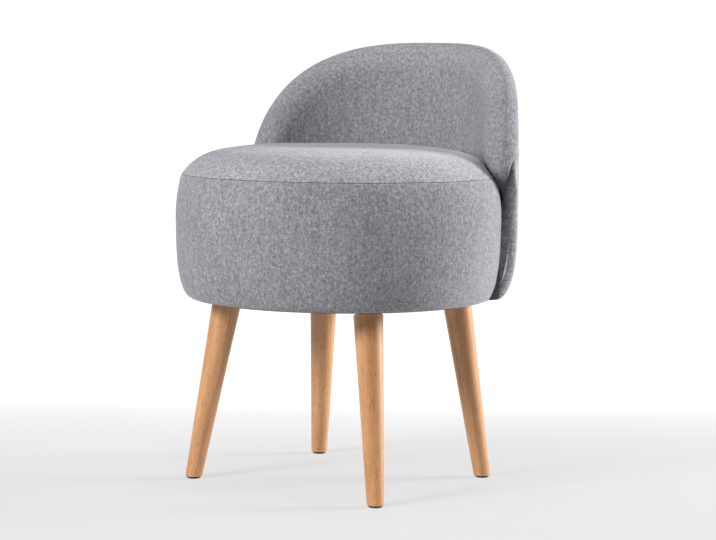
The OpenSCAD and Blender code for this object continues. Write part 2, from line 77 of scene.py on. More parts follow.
class StoolSizes(bpy.types.PropertyGroup):
    """Sizes of the upholstery, taken from the frame where it carries them."""

    drum_radius: bpy.props.FloatProperty(
        name="Drum Radius", description="Radius of the drum at its widest line",
        subtype="DISTANCE", default=cad_radius("seat_side_cover"), min=0.15, max=0.26)
    drum_floor: bpy.props.FloatProperty(
        name="Underside Height", description="Height of the drum's underside above the floor",
        subtype="DISTANCE", default=cad_height("seat_side_cover", False), min=0.15, max=0.35)
    seam_height: bpy.props.FloatProperty(
        name="Seam Height", description="Height of the seam round the seat",
        subtype="DISTANCE", default=cad_height("seat_side_cover", True) + 0.4 * MM, min=0.3, max=0.48)
    seat_height: bpy.props.FloatProperty(
        name="Seat Height", description="Height of the seat's crown",
        subtype="DISTANCE", default=cad_height("seat_top_cover", True), min=0.32, max=0.52)
    back_height: bpy.props.FloatProperty(
        name="Back Height", description="Height of the back's rim in the middle",
        subtype="DISTANCE", default=cad_height("back_cushion_cover", True), min=0.45, max=0.75)
    back_foot: bpy.props.FloatProperty(
        name="Back Foot Height", description="Height of the back's lower edge",
        subtype="DISTANCE", default=cad_height("back_outer_panel", False), min=0.15, max=0.36)
    back_angle: bpy.props.FloatProperty(
        name="Back Wrap", description="Angle from the middle of the back to each end",
        subtype="ANGLE", default=math.radians(72), min=math.radians(40), max=math.radians(90))
    seam_depth: bpy.props.FloatProperty(
        name="Seam Depth", description="Depth of a sewn seam below the cloth",
        subtype="DISTANCE", default=0.0026, min=0.0005, max=0.005)
    crevice: bpy.props.FloatProperty(
        name="Crevice", description="Gap between the back's cushion and the seat",
        subtype="DISTANCE", default=0.0015, min=0.0005, max=0.006)
    plump: bpy.props.FloatProperty(
        name="Plumpness",
        description="How far the stuffing pushes the cloth out on the drum's side and the back",
        subtype="DISTANCE", default=0.0008, min=0, max=0.003)
    pucker: bpy.props.FloatProperty(
        name="Pucker", description="Height of the small ripples beside a seam",
        subtype="DISTANCE", default=0.00035, min=0, max=0.002)


class StoolCloth(bpy.types.PropertyGroup):
    """Colours and weave of the upholstery cloth."""

    light: bpy.props.FloatVectorProperty(
        name="Light Yarn", description="Colour of the light yarns in the melange",
        subtype="COLOR", size=3, min=0, max=1, default=(0.37, 0.37, 0.40))
    middle: bpy.props.FloatVectorProperty(
        name="Middle Yarn", description="Colour of most yarns",
        subtype="COLOR", size=3, min=0, max=1, default=(0.23, 0.23, 0.25))
    dark: bpy.props.FloatVectorProperty(
        name="Dark Yarn", description="Colour of the dark yarns in the melange",
        subtype="COLOR", size=3, min=0, max=1, default=(0.12, 0.12, 0.13))
    yarn: bpy.props.FloatProperty(
        name="Yarn Width", description="Width of a yarn",
        subtype="DISTANCE", default=0.0012, min=0.0003, max=0.004)
    relief: bpy.props.FloatProperty(
        name="Weave Relief", description="Strength of the weave's relief",
        subtype="FACTOR", default=0.35, min=0, max=1)


class StoolWood(bpy.types.PropertyGroup):
    """Colours of the wood finishes."""

    beech_light: bpy.props.FloatVectorProperty(
        name="Beech Light", description="Colour of the beech between its grain lines",
        subtype="COLOR", size=3, min=0, max=1, default=(0.575, 0.30, 0.137))
    beech_dark: bpy.props.FloatVectorProperty(
        name="Beech Dark", description="Colour of the beech's grain lines",
        subtype="COLOR", size=3, min=0, max=1, default=(0.40, 0.18, 0.07))
    grain: bpy.props.FloatProperty(
        name="Grain Fineness", description="How many grain lines cross a centimetre",
        default=9, min=2, max=30)


# Form of the upholstery


def roll(distance, radius):
    """Share of its full height that a rolled rim has at a distance from its edge."""
    k = 1 - min(1, distance / radius)
    return math.sqrt(max(0, 1 - k * k))


def smooth(x):
    """Eases from 0 to 1 while x goes from 0 to 1."""
    k = max(0, min(1, x))
    return k * k * (3 - 2 * k)


def in_mm(length):
    """A property's length in millimetres, rounded because Blender keeps it in single precision."""
    return round(length / MM, 4)


def eased(x, start, end):
    """Eases from 0 to 1 while x goes from start to end."""
    return smooth((x - start) / (end - start))


def eased_min(a, b):
    """The smaller of two lengths, rounded off where they come near each other."""
    return a * b / (a ** 6 + b ** 6) ** (1 / 6) if a > 0 else 0


def near(distance, reach):
    """Falls evenly from 1 at a line to 0 at a reach from it."""
    return max(0, 1 - abs(distance) / reach)


class Form:
    """Curves of the upholstery in millimetres, about the drum's own axis.

    On the back, q is how far along its wrap a place lies: 0 in the middle and 1 at either end.
    A name that ends in power is an exponent, and one that ends in share has no unit.
    """

    # Drum: height share of its widest line, how far it draws in to the seam, its lower corner
    belly_share, draw_in = 0.66, 7
    corner_rise, corner_in, corner_power = 91, 20, 2.28
    crown_power = 8.0
    # Back: its thickness beside the drum, and how far its foot hangs below the solids
    wall, foot_drop = 20, 5
    # Arch of the rim: how far its ends lie below the seat's seam, and its shape
    arch_drop, arch_power, rim_power = 17, 2.88, 1.93
    # Wrap: its share beside the drum, where it widens to the arch's, and its flare at the foot
    foot_share, widen_below, widen_rise = 61 / 72, 14, 47
    flare, flare_rise = 0.05, 45
    # Curved side seam: how far it rises over the arch's foot, and how far its ends run lower
    panel_rise, panel_power, panel_dip, dip_from = 70, 2.97, 14, 0.92
    # Outside of the back: its rounded foot, the lean of its top, the valley beside its seam
    heel_rise, heel_in, heel_power, lean = 89, 24.5, 2.3, 5
    valley_half, valley_power = 5.5, 1.6
    # Roll of the rim, and how much narrower it gets beside the drum
    rim_roll, rim_narrow, rim_rise = 20, 8, 25
    # Inside of the back: how far the cushion stands in, over its roll and above the seat
    deep, deep_roll, deep_below, deep_rise = 25, 38, 29, 60
    # Painted shade on the back's cloth where it lies in shade: its depth against the seat and how far up it
    # reaches, its depth along the seam and its half width, its extra depth at the seam's last part, and its
    # depth and width at the back's ends
    seat_shade, seat_shade_rise = 0.7, 9
    seam_shade, seam_shade_half = 0.55, 1.6
    last_shade, end_shade, end_shade_wide = 0.35, 0.15, 2.5

    def __init__(self, sizes):
        self.floor, self.seam = in_mm(sizes.drum_floor), in_mm(sizes.seam_height)
        self.top, self.drum_r = in_mm(sizes.seat_height), in_mm(sizes.drum_radius)
        self.crown_h = self.top - self.seam
        self.belly = self.floor + (self.seam - self.floor) * self.belly_share
        self.corner = self.floor + self.corner_rise
        self.seam_r, self.corner_r = self.side_r(self.seam), self.side_r(self.corner)
        self.back_top, self.back_foot = in_mm(sizes.back_height), in_mm(sizes.back_foot) - self.foot_drop
        self.back_r = self.drum_r + self.wall
        self.angle = math.radians(round(math.degrees(sizes.back_angle), 4))
        self.half_arc = self.back_r * self.angle
        self.arch_foot = self.seam - self.arch_drop
        self.axis_y = -self.wall / 2
        self.seam_depth, self.crevice = in_mm(sizes.seam_depth), in_mm(sizes.crevice)
        self.pucker, self.plump = in_mm(sizes.pucker), in_mm(sizes.plump)

    def side_r(self, z):
        """Radius of the drum's side, between its corner and its seam."""
        return self.drum_r - self.draw_in * ((z - self.belly) / (self.seam - self.belly)) ** 2

    def drum_at(self, z):
        """Radius of the drum below its widest line, and its greatest radius above that."""
        if z >= self.belly:
            return self.drum_r
        if z >= self.corner:
            return self.side_r(z)
        drop = min(1, ((self.corner - z) / self.corner_rise) ** (self.corner_power / 2))
        return self.corner_r - self.corner_in * (1 - (1 - drop * drop) ** (1 / self.corner_power))

    def seat_at(self, z):
        """Radius of the drum's side or, above its seam, of the seat's crown."""
        if z < self.seam:
            return self.side_r(z)
        if z < self.top:
            return self.seam_r * (1 - (z - self.seam) / self.crown_h) ** (1 / self.crown_power)
        return 0

    def arch_at(self, q):
        """Height of the rim."""
        rise = self.back_top - self.arch_foot
        return self.arch_foot + rise * (1 - q ** self.arch_power) ** (1 / self.rim_power)

    def arch_slope(self, q):
        """How steeply the rim falls."""
        rise = (self.back_top - self.arch_foot) / self.rim_power
        fall = max(1e-9, 1 - q ** self.arch_power) ** (1 / self.rim_power - 1)
        return rise * fall * self.arch_power * q ** (self.arch_power - 1) / self.half_arc

    def wrap_at(self, z):
        """Share of its half angle that the back reaches: least beside the drum, most at the arch."""
        foot = self.flare * smooth((self.floor + self.flare_rise - z) / self.flare_rise)
        widened = smooth((z - self.arch_foot + self.widen_below) / self.widen_rise)
        return self.foot_share + foot + (1 - self.foot_share) * widened

    def share_at(self, co):
        """How far along its wrap a place on the back lies, from 0 in the middle to 1 at an end."""
        angle = abs(math.atan2(co.x, co.y - self.axis_y * MM))
        return min(1, angle / self.angle / self.wrap_at(co.z / MM))

    def edge_at(self, q, z):
        """Distance from the nearer of the rim and the back's end."""
        down = (self.arch_at(q) - z) / math.sqrt(1 + self.arch_slope(q) ** 2)
        return max(0, min(down, self.half_arc * (1 - q)))

    def panel_at(self, q):
        """Height of the curved side seam, which stays below the rim."""
        rise = self.panel_rise * (1 - q ** self.arch_power) ** (1 / self.panel_power)
        dip = self.panel_dip * eased(q, self.dip_from, 1)
        return min(self.arch_foot + rise - dip, self.arch_at(q) - 2)

    def panel_slope(self, q):
        """How steeply the curved side seam falls."""
        before, after = max(0, q - 0.004), min(1, q + 0.004)
        return (self.panel_at(before) - self.panel_at(after)) / (after - before) / self.half_arc

    def off_seam(self, q, z):
        """Distance above the curved side seam, square to it, and less than 0 below it."""
        return (z - self.panel_at(q)) / math.sqrt(1 + self.panel_slope(q) ** 2)

    def base_at(self, z):
        """Radius at which the back's bodies meet the drum."""
        return min(self.drum_at(z), self.drum_r) + 1

    def outer_full(self, z):
        """Radius of the back's outside away from its edges and its seam."""
        low = max(0, 1 - (z - self.back_foot) / self.heel_rise) ** self.heel_power
        tip = max(0, (z - self.top) / (self.back_top - self.top))
        return self.back_r - self.heel_in * (1 - (1 - low) ** (1 / self.heel_power)) - self.lean * tip

    def outer_at(self, q, z):
        """Radius of the back's outside."""
        ends = eased(q, 0.7, 0.95)
        rim = self.rim_roll - self.rim_narrow * smooth((self.panel_at(q) - z) / self.rim_rise)
        depth = max(0, self.outer_full(z) - self.base_at(z)) * roll(self.edge_at(q, z), rim)
        dip = self.seam_depth * (1 + ends) * near(self.off_seam(q, z), self.valley_half) ** self.valley_power
        return self.base_at(z) + max(0.15 * depth, depth - dip)

    def painted_shade_at(self, co):
        """How far painted shade darkens the cloth of the back: along its seam, at its ends and against the
        seat.
        """
        z, r, q = co.z / MM, axis_radius(self, co), self.share_at(co)
        if r < self.drum_r:
            crown = self.seam + self.crown_h * (1 - min(1, r / self.seam_r) ** self.crown_power)
            above = max(0, z - crown) / self.seat_shade_rise
            return self.seat_shade * math.exp(-above ** 2) * eased(q, 0.45, 0.75)
        last, off_seam = eased(q, 0.9, 0.98), self.off_seam(q, z)
        half = self.seam_shade_half * (1 + last)
        seam = (self.seam_shade + self.last_shade * last) * math.exp(-(off_seam / half) ** 2)
        end = self.end_shade * smooth(1 - self.half_arc * (1 - q) / self.end_shade_wide)
        return max(seam, end if off_seam < 0 else 0)

    def inner_at(self, q, z):
        """Radius of the back's inside, which leaves a crevice beside the seat."""
        above = smooth((z - self.seam + self.deep_below) / self.deep_rise)
        full = self.deep * roll(self.edge_at(q, z), self.deep_roll) * above
        room = self.base_at(z) - self.seat_at(z) - self.crevice
        return self.base_at(z) - eased_min(full, room)

    def place(self, radius, s, z):
        """Point in metres at a signed share of the back's wrap."""
        angle = s * self.angle * self.wrap_at(z)
        return Vector((radius * math.sin(angle), radius * math.cos(angle) + self.axis_y, z)) * MM


def spread(points, count):
    """The same polyline with count points at equal steps along it."""
    pts = np.array(points, float)
    steps = np.concatenate([[0], np.cumsum(np.linalg.norm(np.diff(pts, axis=0), axis=1))])
    at = np.linspace(0, steps[-1], count)
    return [tuple(float(np.interp(a, steps, pts[:, k])) for k in range(pts.shape[1])) for a in at]


# Making pieces


def new_piece(name, bm, finish):
    """Turns a bmesh into a piece with one finish and smooth faces."""
    bmesh.ops.recalc_face_normals(bm, faces=bm.faces)
    mesh = bpy.data.meshes.new(name)
    bm.to_mesh(mesh)
    bm.free()
    for face in mesh.polygons:
        face.use_smooth = True
    mesh.materials.append(finish)
    piece = bpy.data.objects.new(name, mesh)
    bpy.context.scene.collection.objects.link(piece)
    return piece


def turned(profile, steps, form):
    """Closed body spun about the drum's axis from (radius, height) points in millimetres."""
    bm = bmesh.new()
    verts = [bm.verts.new((0, (r + form.axis_y) * MM, z * MM)) for r, z in profile]
    edges = [bm.edges.new(pair) for pair in zip(verts, verts[1:])]
    bmesh.ops.spin(
        bm, geom=verts + edges, cent=(0, form.axis_y * MM, 0), axis=(0, 0, 1),
        angle=math.tau, steps=steps, use_merge=True)
    bmesh.ops.remove_doubles(bm, verts=bm.verts, dist=WELD)
    return bm


def lofted(rings):
    """Closed body from a grid: ring after ring of points, each ring ending where it began."""
    bm = bmesh.new()
    wide, tall = len(rings), len(rings[0])
    bmesh.ops.create_grid(bm, x_segments=wide - 1, y_segments=tall - 1, size=0.5)
    for v in bm.verts:
        v.co = rings[round((v.co.x + 0.5) * (wide - 1))][round((v.co.y + 0.5) * (tall - 1))]
    bmesh.ops.remove_doubles(bm, verts=bm.verts, dist=WELD)
    ends = [e for e in bm.edges if e.is_boundary]
    bmesh.ops.holes_fill(bm, edges=ends, sides=0)
    return bm


def lay_weave(piece, where):
    """Gives each corner of a piece its place on the cloth, in metres, so that the weave follows it."""
    mesh = piece.data
    layer = mesh.uv_layers.new(name="cloth")
    for face in mesh.polygons:
        middle = face.center
        for loop in face.loop_indices:
            layer.data[loop].uv = where(mesh.vertices[mesh.loops[loop].vertex_index].co, middle)


def around(form):
    """Cloth that runs round the drum: across is the arc, up is the height."""
    def where(co, middle):
        a = math.atan2(co.x, co.y - form.axis_y * MM)
        b = math.atan2(middle.x, middle.y - form.axis_y * MM)
        a += math.tau * round((b - a) / math.tau)
        return a * form.drum_r * MM, co.z
    return where


def over_seat(co, middle):
    """Cloth that lies over the seat."""
    return co.x, co.y


def over_back(form):
    """Cloth of the back: it follows the arc and the height, and then the way over the rim."""
    def where(co, middle):
        angle, radius = math.atan2(co.x, co.y - form.axis_y * MM), axis_radius(form, co) * MM
        ends = eased(form.share_at(co), 0.8, 0.95)
        height = co.z if axis_radius(form, middle) < form.drum_r + 1 else -co.z
        across = angle * form.back_r * MM + math.copysign(ends * radius, angle)
        return across, height + (1 - ends) * radius
    return where


def lay_painted_shade(piece, depth):
    """Notes at each vertex how far painted shade darkens its cloth."""
    layer = piece.data.attributes.new("painted_shade", "FLOAT", "POINT")
    for place, v in zip(layer.data, piece.data.vertices):
        place.value = depth(v.co)


# Stuffing: a closed copy is blown up against its pinned seams, and the cloth takes its swell


SWELLS = {}
# Size of the copy's faces and the most that the cloth may move, in millimetres
STUFFING_FACE, STUFFING_MOST = 6.0, 5.0
STUFFING_PRESSURE, STUFFING_FRAMES = 4.0, 20


def stuffed(bm, name, pinned):
    """Blows up a closed body and returns a function that gives the swell near a point."""
    bmesh.ops.recalc_face_normals(bm, faces=bm.faces)
    mesh = bpy.data.meshes.new(name)
    bm.to_mesh(mesh)
    bm.free()
    body = bpy.data.objects.new(name, mesh)
    scene = bpy.context.scene
    scene.collection.objects.link(body)
    remesh = body.modifiers.new("even", "REMESH")
    remesh.mode, remesh.voxel_size = "VOXEL", STUFFING_FACE * MM
    bpy.context.view_layer.update()
    even = bpy.data.meshes.new_from_object(body.evaluated_get(bpy.context.evaluated_depsgraph_get()))
    body.modifiers.clear()
    body.data = even
    rest = [v.co.copy() for v in even.vertices]
    group = body.vertex_groups.new(name="sewn")
    for i, co in enumerate(rest):
        weight = pinned(co)
        if weight > 0:
            group.add([i], weight, "REPLACE")
    cloth = body.modifiers.new("stuffing", "CLOTH")
    settings = cloth.settings
    settings.quality = 6
    settings.mass = 0.4
    settings.tension_stiffness = settings.compression_stiffness = 25
    settings.shear_stiffness = 12
    settings.bending_stiffness = 2
    settings.use_pressure = True
    settings.uniform_pressure_force = STUFFING_PRESSURE
    settings.vertex_group_mass = "sewn"
    settings.effector_weights.gravity = 0
    cloth.collision_settings.use_collision = False
    cloth.point_cache.frame_start, cloth.point_cache.frame_end = 1, STUFFING_FRAMES
    for step in range(STUFFING_FRAMES):
        scene.frame_set(step + 1)
    done = body.evaluated_get(bpy.context.evaluated_depsgraph_get()).data
    swell = []
    for co, v in zip(rest, done.vertices):
        d = v.co - co
        swell.append(d * min(1, STUFFING_MOST * MM / d.length) if d.length > 0 else d)
    scene.frame_set(1)
    bpy.data.objects.remove(body)
    tree = kdtree.KDTree(len(rest))
    for i, co in enumerate(rest):
        tree.insert(co, i)
    tree.balance()

    def swell_at(co):
        total, weight = Vector(), 0
        for _, i, d in tree.find_n(co, 5):
            w = 1 / (d + MM)
            total += swell[i] * w
            weight += w
        return total / weight

    return swell_at


def press(piece, shift):
    """Moves each vertex of a piece by shift(place, outward direction)."""
    mesh = piece.data
    moves = [shift(v.co, v.normal) for v in mesh.vertices]
    for v, move in zip(mesh.vertices, moves):
        v.co += move
    mesh.update()


def ripple(co, pitch, seed):
    """Uneven wave, from -1 to 1, with a given pitch in millimetres, drawn out upwards."""
    return noise.noise(Vector((co.x, co.y, co.z * 0.4)) / (pitch * MM) + Vector((seed, seed, seed)))


def puckers(form, co, off_seam, pitch, seed):
    """Height of the small ripples beside a seam, in metres: most where they stand 5 mm off it."""
    return ripple(co, pitch, seed) * form.pucker * MM * near(off_seam - 5, SEAM_HOLD)


# Finishes


def finish_nodes(name, roughness, specular=0.5):
    """A new material with its nodes, its links and its shader."""
    mat = bpy.data.materials.new(name)
    mat.use_nodes = True
    nodes, links = mat.node_tree.nodes, mat.node_tree.links
    shader = nodes["Principled BSDF"]
    shader.inputs["Roughness"].default_value = roughness
    shader.inputs["Specular IOR Level"].default_value = specular
    return mat, nodes, links, shader


def grain_noise(nodes, links, source, scale, detail=2.0, rough=0.5, twist=0.0):
    """Noise whose grain is 1 / scale metres long along each axis of its source."""
    place = nodes.new("ShaderNodeMapping")
    place.inputs["Scale"].default_value = scale
    links.new(source, place.inputs["Vector"])
    tex = nodes.new("ShaderNodeTexNoise")
    tex.inputs["Scale"].default_value = 1.0
    tex.inputs["Detail"].default_value = detail
    tex.inputs["Roughness"].default_value = rough
    tex.inputs["Distortion"].default_value = twist
    links.new(place.outputs["Vector"], tex.inputs["Vector"])
    return tex.outputs["Fac"]


def ramp(nodes, links, source, stops):
    """Colours that follow a value from stop to stop."""
    node = nodes.new("ShaderNodeValToRGB")
    band = node.color_ramp
    while len(band.elements) < len(stops):
        band.elements.new(0.5)
    for element, (at, colour) in zip(band.elements, stops):
        element.position = at
        element.color = (*colour[:3], 1)
    links.new(source, node.inputs["Fac"])
    return node.outputs["Color"]


def sums(nodes, links, first, second, share):
    """first + second * share."""
    node = nodes.new("ShaderNodeMath")
    node.operation = "MULTIPLY_ADD"
    links.new(second, node.inputs[0])
    node.inputs[1].default_value = share
    links.new(first, node.inputs[2])
    return node.outputs["Value"]


def mixed(nodes, links, factor, one, two, kind="MIX"):
    """Mix of two colours; a factor or a colour can be constant or come from a socket."""
    node = nodes.new("ShaderNodeMix")
    node.data_type, node.blend_type = "RGBA", kind
    if isinstance(factor, (int, float)):
        node.inputs["Factor"].default_value = factor
    else:
        links.new(factor, node.inputs["Factor"])
    # Sockets 6 and 7 are the colours A and B, and output 2 is the mixed colour
    for socket, value in ((node.inputs[6], one), (node.inputs[7], two)):
        if isinstance(value, (tuple, list)):
            socket.default_value = (*value[:3], 1)
        else:
            links.new(value, socket)
    return node.outputs[2]


def relief(nodes, links, shader, height, distance, strength):
    """Lets a value between 0 and 1 raise the surface by a distance in metres."""
    bump = nodes.new("ShaderNodeBump")
    bump.inputs["Distance"].default_value = distance
    bump.inputs["Strength"].default_value = strength
    links.new(height, bump.inputs["Height"])
    links.new(bump.outputs["Normal"], shader.inputs["Normal"])


# Darkest and lightest sum of the weave's noises, which the yarns' shades are spread over
TONE_LOW, TONE_HIGH = 2.22, 3.13


def melange(name, cloth, painted_light):
    """Woven melange: warp and weft yarns of three shades, crossing in a plain weave, with painted light and
    shade: a factor paints the whole piece lighter or darker, and a vertex attribute paints shade towards
    near-black.
    """
    mat, nodes, links, shader = finish_nodes(name, 0.92, 0.25)
    shader.inputs["Sheen Weight"].default_value = 0.22
    shader.inputs["Sheen Roughness"].default_value = 0.45
    coords = nodes.new("ShaderNodeTexCoord")
    uv, place = coords.outputs["UV"], coords.outputs["Object"]
    pitch = 1 / cloth.yarn
    warp = grain_noise(nodes, links, uv, (pitch, pitch / 5, 1), detail=3, rough=0.6)
    weft = grain_noise(nodes, links, uv, (pitch / 7, pitch, 1), detail=3, rough=0.6)
    fleck = grain_noise(nodes, links, place, (pitch, pitch, pitch / 2.5), detail=3, rough=0.6)
    slub = grain_noise(nodes, links, place, (pitch / 3, pitch / 3, pitch / 3.6), detail=3, rough=0.65)
    streak = grain_noise(nodes, links, place, (pitch / 2.5, pitch / 2.5, pitch / 30), detail=2, rough=0.55)
    broad = grain_noise(nodes, links, place, (9, 9, 9), detail=2, rough=0.5)
    tones = both = sums(nodes, links, warp, weft, 1.0)
    for part, weight in ((fleck, 1.2), (slub, 1.4), (streak, 0.45), (broad, 0.3)):
        tones = sums(nodes, links, tones, part, weight)
    share = nodes.new("ShaderNodeMapRange")
    share.inputs["From Min"].default_value = TONE_LOW
    share.inputs["From Max"].default_value = TONE_HIGH
    links.new(tones, share.inputs["Value"])
    # Painted light: the yarns' colours are scaled by the piece's factor, lighter or darker than the plain
    # cloth
    tone = ramp(nodes, links, share.outputs["Result"], (
        (0.0, [c * painted_light for c in cloth.dark]),
        (0.5, [c * painted_light for c in cloth.middle]),
        (1.0, [c * painted_light for c in cloth.light])))
    # Painted shade: a vertex attribute darkens the cloth where the back lies in shade
    painted_shade = nodes.new("ShaderNodeAttribute")
    painted_shade.attribute_name = "painted_shade"
    # Painted shade: near-black, from the dark yarn, that the shaded places turn towards
    deep = [c * 0.15 for c in cloth.dark]
    links.new(mixed(nodes, links, painted_shade.outputs["Fac"], tone, deep), shader.inputs["Base Color"])
    relief(nodes, links, shader, both, 0.0006, cloth.relief)
    return mat


def beech(name, wood, rotation):
    """Satin beech with its grain along a leg, whose own axis the rotation brings upright."""
    mat, nodes, links, shader = finish_nodes(name, 0.42, 0.45)
    shader.inputs["Coat Weight"].default_value = 0.12
    shader.inputs["Coat Roughness"].default_value = 0.25
    coords = nodes.new("ShaderNodeTexCoord")
    upright = nodes.new("ShaderNodeMapping")
    upright.inputs["Rotation"].default_value = rotation
    links.new(coords.outputs["Object"], upright.inputs["Vector"])
    source = upright.outputs["Vector"]
    lines = wood.grain * 100
    figure = grain_noise(nodes, links, source, (70, 70, 3.5), detail=3, rough=0.55, twist=0.6)
    fibre = grain_noise(nodes, links, source, (lines, lines, 14), detail=2, rough=0.6)
    pores = grain_noise(nodes, links, source, (lines * 1.5, lines * 1.5, 120), detail=0)
    tone = sums(nodes, links, figure, fibre, 0.45)
    between = [(a + b) / 2 for a, b in zip(wood.beech_dark, wood.beech_light)]
    colour = ramp(nodes, links, tone, ((0.5, wood.beech_dark), (0.72, between), (0.92, wood.beech_light)))
    flecks = ramp(nodes, links, pores, ((0.66, (1, 1, 1)), (0.74, (0.62, 0.5, 0.42))))
    links.new(mixed(nodes, links, 0.8, colour, flecks, "MULTIPLY"), shader.inputs["Base Color"])
    relief(nodes, links, shader, fibre, 0.0002, 0.25)
    return mat


def plain_finish(name, colours, roughness, scale, metallic=0.0):
    """Two shades of one colour in a noise of a given scale."""
    mat, nodes, links, shader = finish_nodes(name, roughness)
    shader.inputs["Metallic"].default_value = metallic
    coords = nodes.new("ShaderNodeTexCoord")
    spots = grain_noise(nodes, links, coords.outputs["Object"], scale, detail=3, rough=0.6)
    tone = ramp(nodes, links, spots, ((0.3, colours[0]), (0.7, colours[1])))
    links.new(tone, shader.inputs["Base Color"])
    relief(nodes, links, shader, spots, 0.0002, 0.5)
    return mat


def plywood(name):
    """Birch plywood: long figure on the faces and thin plies on the edges."""
    mat, nodes, links, shader = finish_nodes(name, 0.6)
    coords = nodes.new("ShaderNodeTexCoord")
    figure = grain_noise(nodes, links, coords.outputs["Object"], (6, 90, 6), detail=4, rough=0.6, twist=0.4)
    face = ramp(nodes, links, figure, ((0.3, (0.50, 0.34, 0.18)), (0.7, (0.66, 0.49, 0.29))))
    plies = nodes.new("ShaderNodeTexWave")
    plies.bands_direction = "Z"
    plies.inputs["Scale"].default_value = 110
    plies.inputs["Distortion"].default_value = 0.3
    links.new(coords.outputs["Object"], plies.inputs["Vector"])
    edge = ramp(nodes, links, plies.outputs["Fac"], ((0.3, (1, 1, 1)), (0.7, (0.6, 0.5, 0.42))))
    links.new(mixed(nodes, links, 0.5, face, edge, "MULTIPLY"), shader.inputs["Base Color"])
    relief(nodes, links, shader, figure, 0.0002, 0.4)
    return mat


def floor_finish():
    """Pale floor that glows, and brightens to plain white, behind the stool."""
    mat, nodes, links, shader = finish_nodes("pale_floor", 0.9, 0.1)
    shader.inputs["Base Color"].default_value = (0.12, 0.12, 0.12, 1)
    coords = nodes.new("ShaderNodeTexCoord")
    away = nodes.new("ShaderNodeVectorMath")
    away.operation = "DOT_PRODUCT"
    links.new(coords.outputs["Object"], away.inputs[0])
    away.inputs[1].default_value = (-math.sin(VIEW_TURN), math.cos(VIEW_TURN), 0)
    glow = ramp(nodes, links, away.outputs["Value"], [
        (metres, (grey, grey, grey)) for metres, grey in ((0.0, 0.61), (0.3, 0.66), (0.5, 0.73), (0.8, 1.0))])
    links.new(glow, shader.inputs["Emission Color"])
    shader.inputs["Emission Strength"].default_value = 1.0
    return mat


def give(nodes, finish):
    """Gives nodes of the frame a finish."""
    for name in nodes:
        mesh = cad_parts[name].data
        mesh.materials.clear()
        mesh.materials.append(finish)


# Outlines of the padded pieces


QUARTER = math.pi / 2
# How far a seam, or the edge of a piece, holds the cloth beside it, in millimetres
SEAM_HOLD, EDGE_HOLD = 9, 30
# Share of the stuffing's swell that each piece takes
SEAT_SWELL, SIDE_SWELL, BACK_SWELL = 0.35, 0.6, 0.5
# Steps round the drum, and columns across the back
TURN_STEPS, BACK_COLUMNS = 240, 160
# Cloth that turns into a seam: where its bend ends, and where it begins, inside the seam's radius
BEND_IN, BEND_OUT = 1.2, 0.4
# Hidden parts: how far the back's cloth is tucked in at its seam, how far the seat's cushion
# reaches below its own, how thick the side band is and how far its hem runs under the drum
TUCK, SEAT_SUNK, BAND, HEM = 6, 7, 6, 15


def seat_profile(form):
    """Seat cushion: flat underneath, a groove at the seam and a crown above it."""
    groove = form.seam_r - form.seam_depth
    turns = [QUARTER * i / 240 for i in range(241)]
    crown = [(form.seam_r * math.cos(t) ** (2 / form.crown_power),
              form.seam + form.crown_h * math.sin(t) ** 2) for t in turns]
    crown = [(max(0, r), z) for r, z in crown if z > form.seam + 0.7]
    base = form.seam - SEAT_SUNK
    return ([(0, base), (groove / 2, base), (groove, base), (groove, form.seam - 0.1),
             (form.seam_r - BEND_IN, form.seam + 0.05), (form.seam_r - BEND_OUT, form.seam + 0.3)]
            + spread(crown, 62))


def side_profile(form):
    """Side band: from the groove down the belly, round the corner, under the drum and back inside."""
    groove = form.seam_r - form.seam_depth
    side = [(form.side_r(z), z) for z in np.linspace(form.seam - 0.8, form.corner, 60)]
    corner = []
    for i in range(1, 61):
        t = QUARTER * (1 - i / 60)
        corner.append((form.corner_r - form.corner_in * (1 - math.sin(t) ** (2 / form.corner_power)),
                       form.corner - form.corner_rise * math.cos(t) ** (2 / form.corner_power)))
    under = form.corner_r - form.corner_in
    hem, lining = under - HEM, form.seam_r - BAND
    return ([(groove, form.seam - 3), (groove, form.seam - 0.25),
             (form.seam_r - BEND_IN, form.seam - 0.2), (form.seam_r - BEND_OUT, form.seam - 0.4)]
            + spread(side + corner, 44)
            + [(hem + 5, form.floor), (hem, form.floor), (hem, form.floor + 1.5),
               (under, form.floor + 2), (form.corner_r - BAND, form.floor + 20),
               (lining, form.corner), (lining, form.seam - 9), (groove, form.seam - 3)])


def column_at(i, count):
    """Signed share of the half angle, closer together at the ends and just short of them."""
    return math.sin(QUARTER * (2 * i / (count - 1) - 1)) * 0.9999


def back_sections(form, s):
    """One column of the back as (radius, height): inner face, upper outside and lower outside."""
    q = abs(s)
    top, seam = form.arch_at(q), form.panel_at(q)
    slant = math.sqrt(1 + form.panel_slope(q) ** 2)
    gap = min((0.4 + 0.6 * eased(q, 0.7, 0.9)) * slant, (top - seam) / 4)
    start = min(form.arch_foot, top - 2)
    up = [start + (top - start) * math.sin(QUARTER * i / 90) for i in range(91)]
    inner = [(form.inner_at(q, z), z) for z in up]
    down = [top - (top - seam - gap) * (1 - math.cos(QUARTER * i / 80)) for i in range(1, 81)]
    upper = [(form.outer_at(q, z), z) for z in down]
    head = seam - gap
    low = [head - (head - form.back_foot) * math.sin(QUARTER * (i / 160) ** 1.3) for i in range(161)]
    lower = [(form.outer_at(q, z), z) for z in low]
    return inner, upper, lower


def near_seam(form, q, line):
    """How many points of an outside line lie close to the seam."""
    reach = 14 * math.sqrt(1 + form.panel_slope(q) ** 2)
    count = sum(abs(z - form.panel_at(q)) < reach for _, z in line)
    return max(3, min(count, len(line) * 2 // 3))


